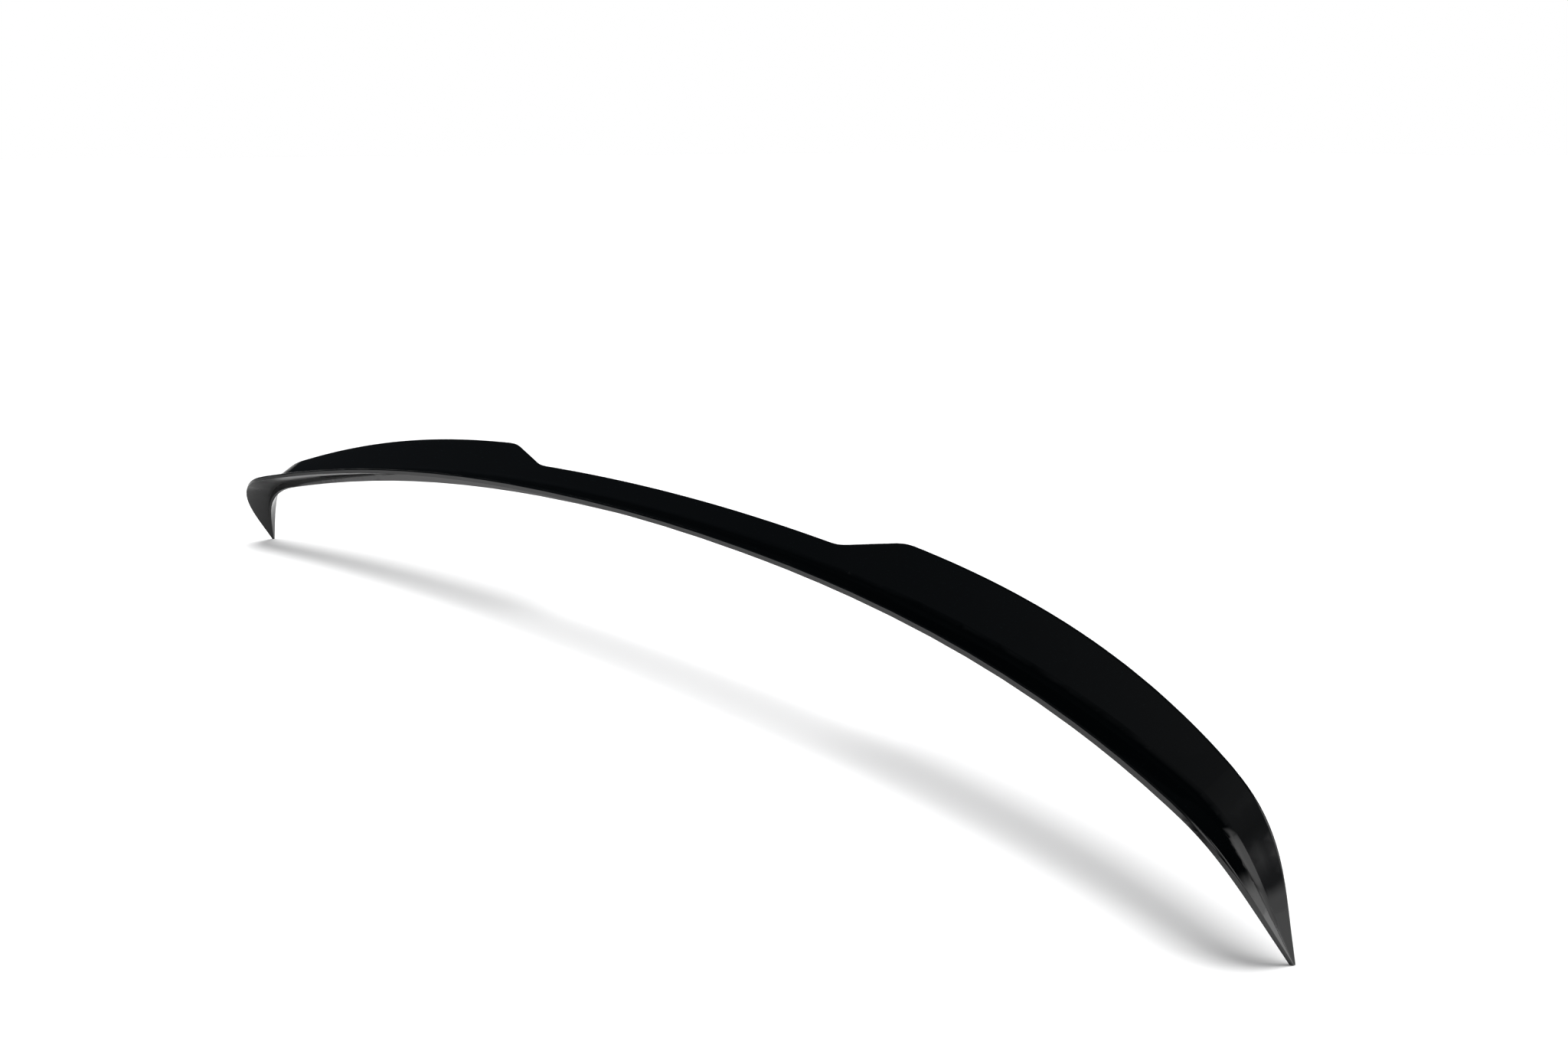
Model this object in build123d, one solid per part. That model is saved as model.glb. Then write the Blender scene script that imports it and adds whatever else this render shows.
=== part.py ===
from build123d import *
import os
from math import atan, cos, hypot, radians, sin

# Rear spoiler lip: one gloss black moulded cap that is bonded on its seat, the faces under it.
# X runs from end to end, Y to the rear and Z up, and all sizes are in mm.

# Front edge of the seat: how far it runs and how it curves
BEND_X = 570.0  # middle plane to where the edge turns down
SWEEP = 56.5  # how far the edge comes forward from the middle to the bend
SWEEP_LATE = 0.27  # share of that which comes in towards the ends
CROWN = 45.1  # how far the edge drops from the middle to the bend
CROWN_LATE = 0.29  # share of that which comes in towards the ends

# Pointed ends, where the front edge turns a corner and runs down the side
TURN_LENGTH = 81.0  # length over which the front edge turns the corner
END_TILT = 80.0  # lean of the side face, degrees from level
END_DROP = 14.2  # length of the end below the turn
END_RAKE = 0.68  # how far that length runs to the rear for each mm

# Seat under the lip: a top face between the bends and a side face under each end
TOP_FALL = 6.8  # fall of the top face to the rear, degrees
SIDE_TAPER = 20.0  # taper of the side faces to the rear, degrees

# Blade
BAND = 20.0  # flat band from the front edge to the foot of the blade
MID_DEPTH = 31.2  # front edge to trailing edge in the middle
MID_RISE = 14.8  # trailing edge above the band in the middle
WING_DEPTH = 43.0  # front edge to trailing edge at the winglets
BEND_DEPTH = 37.7  # the same where the winglets reach the bend
WING_RISE = 28.7  # trailing edge above the band at the winglets' inner corners
BEND_RISE = 15.6  # the same where the winglets reach the bend
WING_FALL = 2.7  # power of the fall between these two
TIP_DEPTH = 1.5  # what is left of the depth at the tip
TIP_RISE = 0.6  # what is left of the rise at the tip
NOTCH_X = 196.0  # start of the step from the low middle to the winglets
STEP_LENGTH = 56.0  # length of that step
STEP_BLEND = 18.0  # length over which the step's corners are rounded

# Wall and edges
WALL = 3.0
FRONT_EDGE = 3.8  # height of the front edge above the seat
TIP_EDGE = 2.0  # the same at the tips
LEAN = 0.6  # front face leans back by this much
FRONT_ROUND = 1.3
FOOT_ROUND = 10.0
LIP_THICKNESS = 3.4  # trailing edge
LIP_ROUND = 1.5

# Rear wall, which ends in a hook below the seat
HOOK_REACH = 31.0  # front edge to the wall's lower rear edge
HOOK_DROP = 6.0  # how far the wall goes below the seat
LEDGE = 1.0  # step between the hook's inner face and the hollow's rear wall
HOLLOW_STOP = 45.0  # the hollow behind the blade ends this far before the bend

# Places along the front edge that follow from these sizes
PEAK_X = NOTCH_X + STEP_LENGTH
HOLLOW_X = BEND_X - HOLLOW_STOP
TIP_S = BEND_X + TURN_LENGTH + END_DROP


def curve(x, total, late):
    """Drop of a curved edge at x: a parabola with a steeper part added towards the ends."""
    u = x / BEND_X
    return total * ((1 - late) * u**2 + late * u**4)


def slope(x, total, late):
    """Slope of that curve at x."""
    u = x / BEND_X
    return total * (2 * (1 - late) * u + 4 * late * u**3) / BEND_X


def turn_share(s):
    """Share of the turn round the corner that is made at s: it starts and ends softly."""
    t = min(1.0, max(0.0, s - BEND_X) / TURN_LENGTH)
    return t**2 * (3 - 2 * t)


def run_out(s, start, first, last):
    """Value past the bend, whose slope goes from the first to the last with the turn."""
    t = min(1.0, (s - BEND_X) / TURN_LENGTH)
    turning = TURN_LENGTH * (t**3 - t**4 / 2)
    straight = s - BEND_X - t * TURN_LENGTH
    return start + first * (s - BEND_X) + (last - first) * (turning + straight)


def run_to_tip(s, start, first, tip):
    """The same for a value that is known at the tip."""
    last = first + (tip - start - first * (TIP_S - BEND_X)) / (TURN_LENGTH / 2 + END_DROP)
    return run_out(s, start, first, last)


def edge_tilt(s):
    """Tilt of the seat at s, seen from the front."""
    top = atan(slope(min(s, BEND_X), CROWN, CROWN_LATE))
    return top + (radians(END_TILT) - top) * turn_share(s)


def front_edge(s):
    """Point of the front edge on the seat at the distance s along it."""
    if s <= BEND_X:
        return Vector(s, -curve(s, SWEEP, SWEEP_LATE), -curve(s, CROWN, CROWN_LATE))
    pieces = 40
    step = (s - BEND_X) / pieces
    tilts = [edge_tilt(BEND_X + (i + 0.5) * step) for i in range(pieces)]
    out = step * sum(cos(tilt) for tilt in tilts)
    down = step * sum(sin(tilt) for tilt in tilts)
    forward = slope(BEND_X, SWEEP, SWEEP_LATE) * cos(edge_tilt(BEND_X))
    return Vector(BEND_X + out, run_out(s, -SWEEP, -forward, END_RAKE), -CROWN - down)


def smooth_step(x, start, end, blend):
    """Straight ramp from 0 to 1 with its two corners rounded over the blend length."""
    def lift(d):
        d = max(-blend / 2, d)
        return (d + blend / 2) ** 2 / (2 * blend) if d < blend / 2 else d
    return (lift(x - start) - lift(x - end)) / (end - start)


def blade(s):
    """Depth and rise of the trailing edge at the distance s along the front edge."""
    step = smooth_step(s, NOTCH_X, PEAK_X, STEP_BLEND)
    out = max(0.0, (s - PEAK_X) / (BEND_X - PEAK_X))
    if s <= BEND_X:
        wing_depth = WING_DEPTH - (WING_DEPTH - BEND_DEPTH) * out**3
        wing_rise = WING_RISE - (WING_RISE - BEND_RISE) * out**WING_FALL
        depth = MID_DEPTH + (wing_depth - MID_DEPTH) * step
        return depth, MID_RISE + (wing_rise - MID_RISE) * step
    thinning = -3 * (WING_DEPTH - BEND_DEPTH) / (BEND_X - PEAK_X)
    sinking = -WING_FALL * (WING_RISE - BEND_RISE) / (BEND_X - PEAK_X)
    return run_to_tip(s, BEND_DEPTH, thinning, TIP_DEPTH), run_to_tip(s, BEND_RISE, sinking, TIP_RISE)


def seat_axes(s):
    """Front edge point, the seat's rearward direction and its outward normal at s."""
    place, tilt = front_edge(abs(s)), edge_tilt(abs(s))
    fall = radians(TOP_FALL + (SIDE_TAPER - TOP_FALL) * turn_share(abs(s)))
    up = Vector(sin(tilt), 0, cos(tilt))
    rear = Vector(0, cos(fall), 0) - up * sin(fall)
    out = up * cos(fall) + Vector(0, sin(fall), 0)
    if s < 0:
        place, rear, out = (Vector(-v.X, v.Y, v.Z) for v in (place, rear, out))
    return place, rear, out


def rounded_wire(s, corners):
    """Closed wire at s through (rearward, outward, radius) corners, each rounded by its radius."""
    place, rear, out = seat_axes(s)

    def put(e, n):
        return place + rear * e + out * n

    starts, middles, ends = [], [], []
    for i, (e, n, radius) in enumerate(corners):
        before = corners[i - 1]
        after = corners[(i + 1) % len(corners)]
        ax, ay = before[0] - e, before[1] - n
        bx, by = after[0] - e, after[1] - n
        la, lb = hypot(ax, ay), hypot(bx, by)
        ax, ay, bx, by = ax / la, ay / la, bx / lb, by / lb
        mx, my = (ax + bx) / 2, (ay + by) / 2
        half = max(hypot(mx, my), 1e-9)
        away = (1 - half**2) ** 0.5
        reach = radius * half / away if radius else 0.0
        middle = radius / away - radius if radius else 0.0
        starts.append(put(e + ax * reach, n + ay * reach))
        ends.append(put(e + bx * reach, n + by * reach))
        middles.append(put(e + mx / half * middle, n + my / half * middle))
    edges = []
    for i, corner in enumerate(corners):
        if corner[2]:
            edges.append(Edge.make_three_point_arc(starts[i], middles[i], ends[i]))
        edges.append(Edge.make_line(ends[i], starts[(i + 1) % len(corners)]))
    return Wire(edges)


def inner_foot(s):
    """Where the blade's inner face, one wall behind its outer face, meets the underside."""
    depth, rise = blade(min(s, BEND_X))
    run = hypot(depth - BAND, rise)
    return BAND + (WALL * run - FRONT_EDGE * (depth - BAND)) / rise


def section(s, hollowed):
    """Corners of the section at s: front edge, band, blade, lip, rear wall, hook and underside."""
    s = abs(s)
    depth, rise = blade(s)
    end = max(0.0, (s - BEND_X) / (TIP_S - BEND_X))
    small = min(1.0, depth / BEND_DEPTH) if end else 1.0
    soft = 1 - 0.65 * (1 - small)
    front = FRONT_EDGE + (TIP_EDGE - FRONT_EDGE) * end
    foot = BAND * small
    run = hypot(depth - foot, rise)
    along, climb = (depth - foot) / run, rise / run
    thick = LIP_THICKNESS * soft
    back = depth + thick * climb, front + rise - thick * along
    hook = HOOK_REACH * small
    low = -HOOK_DROP * small
    stop = (HOOK_REACH - WALL) * small
    ledge = (HOOK_REACH - WALL - LEDGE) * small
    inner = inner_foot(s) * small
    lean = (back[0] - hook) / (back[1] - low)
    top = (ledge - inner) / (along / climb - lean)
    corners = [
        (0, 0, 0),
        (LEAN * small, front, FRONT_ROUND * soft),
        (foot, front, FOOT_ROUND * small),
        (depth, front + rise, LIP_ROUND * soft),
        (*back, LIP_ROUND * soft),
        (hook, low, 0),
        (stop, low, 0),
        (stop, 0, 0),
        (ledge, 0, 0),
        (inner, 0, 0),
    ]
    if hollowed:
        corners.insert(-1, (ledge + lean * top, top, 0))
    return corners


def stretch(start, end, count, hollowed=False):
    """Length of the lip between two places along it, with a flat face at each end."""
    places = [start + (end - start) * i / count for i in range(count + 1)]
    return Solid.make_loft([rounded_wire(s, section(s, hollowed)) for s in places])


def outer_faces(length):
    """Faces of a length of the lip without its two flat ends."""
    return length.faces().filter_by(GeomType.PLANE, reverse=True)


# The lip in lengths: the low middle, then on each side a step, a winglet, a short solid length,
# a turn and a straight point, with the sections closest together at the step and round the turn
step_start = NOTCH_X - STEP_BLEND / 2
step_end = PEAK_X + STEP_BLEND / 2
skin = outer_faces(stretch(-step_start, step_start, 3, hollowed=True))
for side in (1, -1):
    skin += outer_faces(stretch(side * step_start, side * step_end, 10, hollowed=True))
    skin += outer_faces(stretch(side * step_end, side * HOLLOW_X, 3, hollowed=True))
    skin.append(Face(rounded_wire(side * HOLLOW_X, section(HOLLOW_X, True)[-3:])))
    skin += outer_faces(stretch(side * HOLLOW_X, side * BEND_X, 2))
    skin += outer_faces(stretch(side * BEND_X, side * (BEND_X + TURN_LENGTH), 11))
    point = stretch(side * (BEND_X + TURN_LENGTH), side * TIP_S, 1)
    skin += outer_faces(point)
    skin.append(point.faces().filter_by(GeomType.PLANE).sort_by(Axis.Z)[0])
lip = Solid(Shell(skin))
lip.label = "lip"

os.makedirs("parts", exist_ok=True)
export_step(lip, "parts/lip.step")
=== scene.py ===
from math import cos, radians, sin

import bpy
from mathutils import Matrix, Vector


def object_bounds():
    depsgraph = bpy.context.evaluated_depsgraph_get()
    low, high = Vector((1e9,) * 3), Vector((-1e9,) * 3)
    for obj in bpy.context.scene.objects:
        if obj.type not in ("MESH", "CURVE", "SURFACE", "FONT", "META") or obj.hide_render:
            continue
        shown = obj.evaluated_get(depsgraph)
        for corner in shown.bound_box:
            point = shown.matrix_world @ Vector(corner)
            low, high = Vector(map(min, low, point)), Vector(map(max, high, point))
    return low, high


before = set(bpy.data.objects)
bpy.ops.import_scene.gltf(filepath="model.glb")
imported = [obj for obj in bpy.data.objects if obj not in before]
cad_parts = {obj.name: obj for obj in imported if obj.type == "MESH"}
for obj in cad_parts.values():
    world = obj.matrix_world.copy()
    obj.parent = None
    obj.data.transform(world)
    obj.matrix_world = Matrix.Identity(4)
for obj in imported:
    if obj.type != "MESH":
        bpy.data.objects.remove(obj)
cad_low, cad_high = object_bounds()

# Lip: one moulding of black plastic, bonded by the flat band along its front edge.
# Its outside comes from a polished mould, a deep black mirror with a trace of ripple and wiping.
# The underside and the hollow are left as moulded, in a satin black with a fine grain.
gloss_black = bpy.data.materials.new("gloss_black")
gloss_black.use_nodes = True
nodes, links = gloss_black.node_tree.nodes, gloss_black.node_tree.links
skin = nodes["Principled BSDF"]
skin.inputs["IOR"].default_value = 1.5
spot = nodes.new("ShaderNodeTexCoord")

# Bare moulding: where the lip faces down, or inwards on its two turned-down ends
bare_from, bare_full = -0.62, -0.72
end_from, end_full = 0.585, 0.612
place = nodes.new("ShaderNodeSeparateXYZ")
facing = nodes.new("ShaderNodeSeparateXYZ")
side = nodes.new("ShaderNodeMath")
side.operation = "SIGN"
outwards = nodes.new("ShaderNodeMath")
outwards.operation = "MULTIPLY"
from_middle = nodes.new("ShaderNodeMath")
from_middle.operation = "ABSOLUTE"
on_end = nodes.new("ShaderNodeMapRange")
on_end.inputs["From Min"].default_value = end_from
on_end.inputs["From Max"].default_value = end_full
away_from_seat = nodes.new("ShaderNodeMix")
bare = nodes.new("ShaderNodeMapRange")
bare.inputs["From Min"].default_value = bare_from
bare.inputs["From Max"].default_value = bare_full
links.new(spot.outputs["Object"], place.inputs[0])
links.new(spot.outputs["Normal"], facing.inputs[0])
links.new(place.outputs["X"], side.inputs[0])
links.new(side.outputs[0], outwards.inputs[0])
links.new(facing.outputs["X"], outwards.inputs[1])
links.new(place.outputs["X"], from_middle.inputs[0])
links.new(from_middle.outputs[0], on_end.inputs["Value"])
links.new(on_end.outputs[0], away_from_seat.inputs["Factor"])
links.new(facing.outputs["Z"], away_from_seat.inputs["A"])
links.new(outwards.outputs[0], away_from_seat.inputs["B"])
links.new(away_from_seat.outputs["Result"], bare.inputs["Value"])

# Colour: the bare moulding is a little greyer than the polished skin
skin_black = (0.0002, 0.0004, 0.0005, 1)
bare_black = (0.0110, 0.0112, 0.0116, 1)
colour = nodes.new("ShaderNodeMix")
colour.data_type = "RGBA"
colour.inputs["A"].default_value = skin_black
colour.inputs["B"].default_value = bare_black
links.new(bare.outputs[0], colour.inputs["Factor"])
links.new(colour.outputs["Result"], skin.inputs["Base Color"])

# Roughness: faint streaks along the lip where it was wiped, and an even satin on the bare moulding
streaks = (9, 70, 70)
clear, smeared = 0.35, 0.70
polished, wiped, satin = 0.045, 0.085, 0.40
stretch = nodes.new("ShaderNodeMapping")
stretch.inputs["Scale"].default_value = streaks
wiping = nodes.new("ShaderNodeTexNoise")
wiping.inputs["Scale"].default_value = 1.0
wiping.inputs["Detail"].default_value = 4.0
polish = nodes.new("ShaderNodeMapRange")
polish.inputs["From Min"].default_value = clear
polish.inputs["From Max"].default_value = smeared
polish.inputs["To Min"].default_value = polished
polish.inputs["To Max"].default_value = wiped
sheen = nodes.new("ShaderNodeMix")
sheen.inputs["B"].default_value = satin
links.new(spot.outputs["Object"], stretch.inputs["Vector"])
links.new(stretch.outputs[0], wiping.inputs["Vector"])
links.new(wiping.outputs[0], polish.inputs["Value"])
links.new(bare.outputs[0], sheen.inputs["Factor"])
links.new(polish.outputs[0], sheen.inputs["A"])
links.new(sheen.outputs["Result"], skin.inputs["Roughness"])

# Surface: a ripple some 5 mm long on the skin, and a grain under 1 mm on the bare moulding
ripples, grains = 190.0, 1400.0
relief_height = 0.000015
ripple = nodes.new("ShaderNodeTexNoise")
ripple.inputs["Scale"].default_value = ripples
ripple.inputs["Detail"].default_value = 1.0
grain = nodes.new("ShaderNodeTexNoise")
grain.inputs["Scale"].default_value = grains
grain.inputs["Detail"].default_value = 2.0
height = nodes.new("ShaderNodeMix")
relief = nodes.new("ShaderNodeBump")
relief.inputs["Strength"].default_value = 1.0
relief.inputs["Distance"].default_value = relief_height
links.new(spot.outputs["Object"], ripple.inputs["Vector"])
links.new(spot.outputs["Object"], grain.inputs["Vector"])
links.new(bare.outputs[0], height.inputs["Factor"])
links.new(ripple.outputs[0], height.inputs["A"])
links.new(grain.outputs[0], height.inputs["B"])
links.new(height.outputs["Result"], relief.inputs["Height"])
links.new(relief.outputs[0], skin.inputs["Normal"])

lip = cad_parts["lip"]
lip.data.materials.clear()
lip.data.materials.append(gloss_black)

# Floor: a plain pale sheet, matt like paper, that runs out to the horizon.
# It is no part of the lip, which stands on it with its two points.
floor_size = 60.0
floor_colour = (0.9, 0.9, 0.9, 1)
floor_roughness = 0.9
bpy.ops.object.select_all(action="DESELECT")
bpy.ops.mesh.primitive_plane_add(size=floor_size, location=(0, 0, cad_low.z))
floor = bpy.context.object
floor.name = "floor"
bpy.ops.object.transform_apply()
pale = bpy.data.materials.new("pale_floor")
pale.use_nodes = True
paper = pale.node_tree.nodes["Principled BSDF"]
paper.inputs["Base Color"].default_value = floor_colour
paper.inputs["Roughness"].default_value = floor_roughness
paper.inputs["Specular IOR Level"].default_value = 0.0
floor.data.materials.append(pale)

# Studio: white all round at the height of the horizon and nearly black above, with soft panels.
# The bright ones, high in front and behind on the right, draw the sheen and the light streaks.
# Faint ones overhead, on the left and on the right lift the blade and its ends out of the black.
horizon_top, dark_from = 0.08, 0.26
horizon_white = (1, 1, 1, 1)
dark_above = (0.006, 0.007, 0.008, 1)
world = bpy.data.worlds.new("studio")
bpy.context.scene.world = world
world.use_nodes = True
sky, sky_links = world.node_tree.nodes, world.node_tree.links
direction = sky.new("ShaderNodeTexCoord")
upwards = sky.new("ShaderNodeSeparateXYZ")
fade = sky.new("ShaderNodeValToRGB")
fade.color_ramp.interpolation = "EASE"
fade.color_ramp.elements[0].position = horizon_top
fade.color_ramp.elements[0].color = horizon_white
fade.color_ramp.elements[1].position = dark_from
fade.color_ramp.elements[1].color = dark_above
sky_links.new(direction.outputs["Generated"], upwards.inputs[0])
sky_links.new(upwards.outputs["Z"], fade.inputs[0])

# Each panel: the way to its middle, the angles at which it ends and is full, and its light
soft_panels = {
    "high in front": ((0.00, -0.66, 0.75), 37, 6, (1.6, 1.6, 1.6)),
    "behind on the right": ((0.56, 0.56, 0.62), 36, 12, (1.4, 1.4, 1.4)),
    "overhead": ((0.00, -0.35, 0.94), 55, 10, (0.158, 0.161, 0.164)),
    "on the left": ((-0.85, -0.45, 0.28), 48, 15, (0.027, 0.030, 0.034)),
    "on the right": ((0.90, 0.08, 0.42), 45, 10, (0.21, 0.21, 0.22)),
}
light = fade.outputs[0]
for hung, (towards, end_angle, full_angle, panel_light) in soft_panels.items():
    nearness = sky.new("ShaderNodeVectorMath")
    nearness.operation = "DOT_PRODUCT"
    nearness.inputs[1].default_value = towards
    panel = sky.new("ShaderNodeMapRange")
    panel.label = hung
    panel.interpolation_type = "SMOOTHSTEP"
    panel.inputs["From Min"].default_value = cos(radians(end_angle))
    panel.inputs["From Max"].default_value = cos(radians(full_angle))
    lit = sky.new("ShaderNodeVectorMath")
    lit.operation = "MULTIPLY_ADD"
    lit.inputs[1].default_value = panel_light
    sky_links.new(direction.outputs["Generated"], nearness.inputs[0])
    sky_links.new(nearness.outputs["Value"], panel.inputs["Value"])
    sky_links.new(panel.outputs[0], lit.inputs[0])
    sky_links.new(light, lit.inputs[2])
    light = lit.outputs[0]
sky_links.new(light, sky["Background"].inputs["Color"])

# Lamp: one wide soft light from above brightens the floor, and the lip doesn't mirror it
lamp_strength, lamp_spread = 3.1, radians(40)
lamp_data = bpy.data.lights.new("soft_light", "SUN")
lamp_data.energy = lamp_strength
lamp_data.angle = lamp_spread
lamp = bpy.data.objects.new("soft_light", lamp_data)
lamp.visible_glossy = False
bpy.context.collection.objects.link(lamp)

# Camera: where the photograph was taken from, in front of the lip's right end and a little above.
# Its lens, place and direction were fitted to the lip's edges.
lens_mm, picture_width_mm = 46.9, 36.0
camera_place = (1.2175, -0.7400, 0.2680)
heading, fall = radians(35.424), radians(10.781)
camera_data = bpy.data.cameras.new("camera")
camera_data.lens = lens_mm
camera_data.sensor_width = picture_width_mm
camera_data.sensor_fit = "HORIZONTAL"
camera = bpy.data.objects.new("camera", camera_data)
bpy.context.collection.objects.link(camera)
camera.location = camera_place
forward = Vector((-cos(heading) * cos(fall), sin(heading) * cos(fall), -sin(fall)))
camera.rotation_euler = forward.to_track_quat("-Z", "Y").to_euler()
bpy.context.scene.camera = camera
bpy.context.scene.view_settings.view_transform = "Standard"
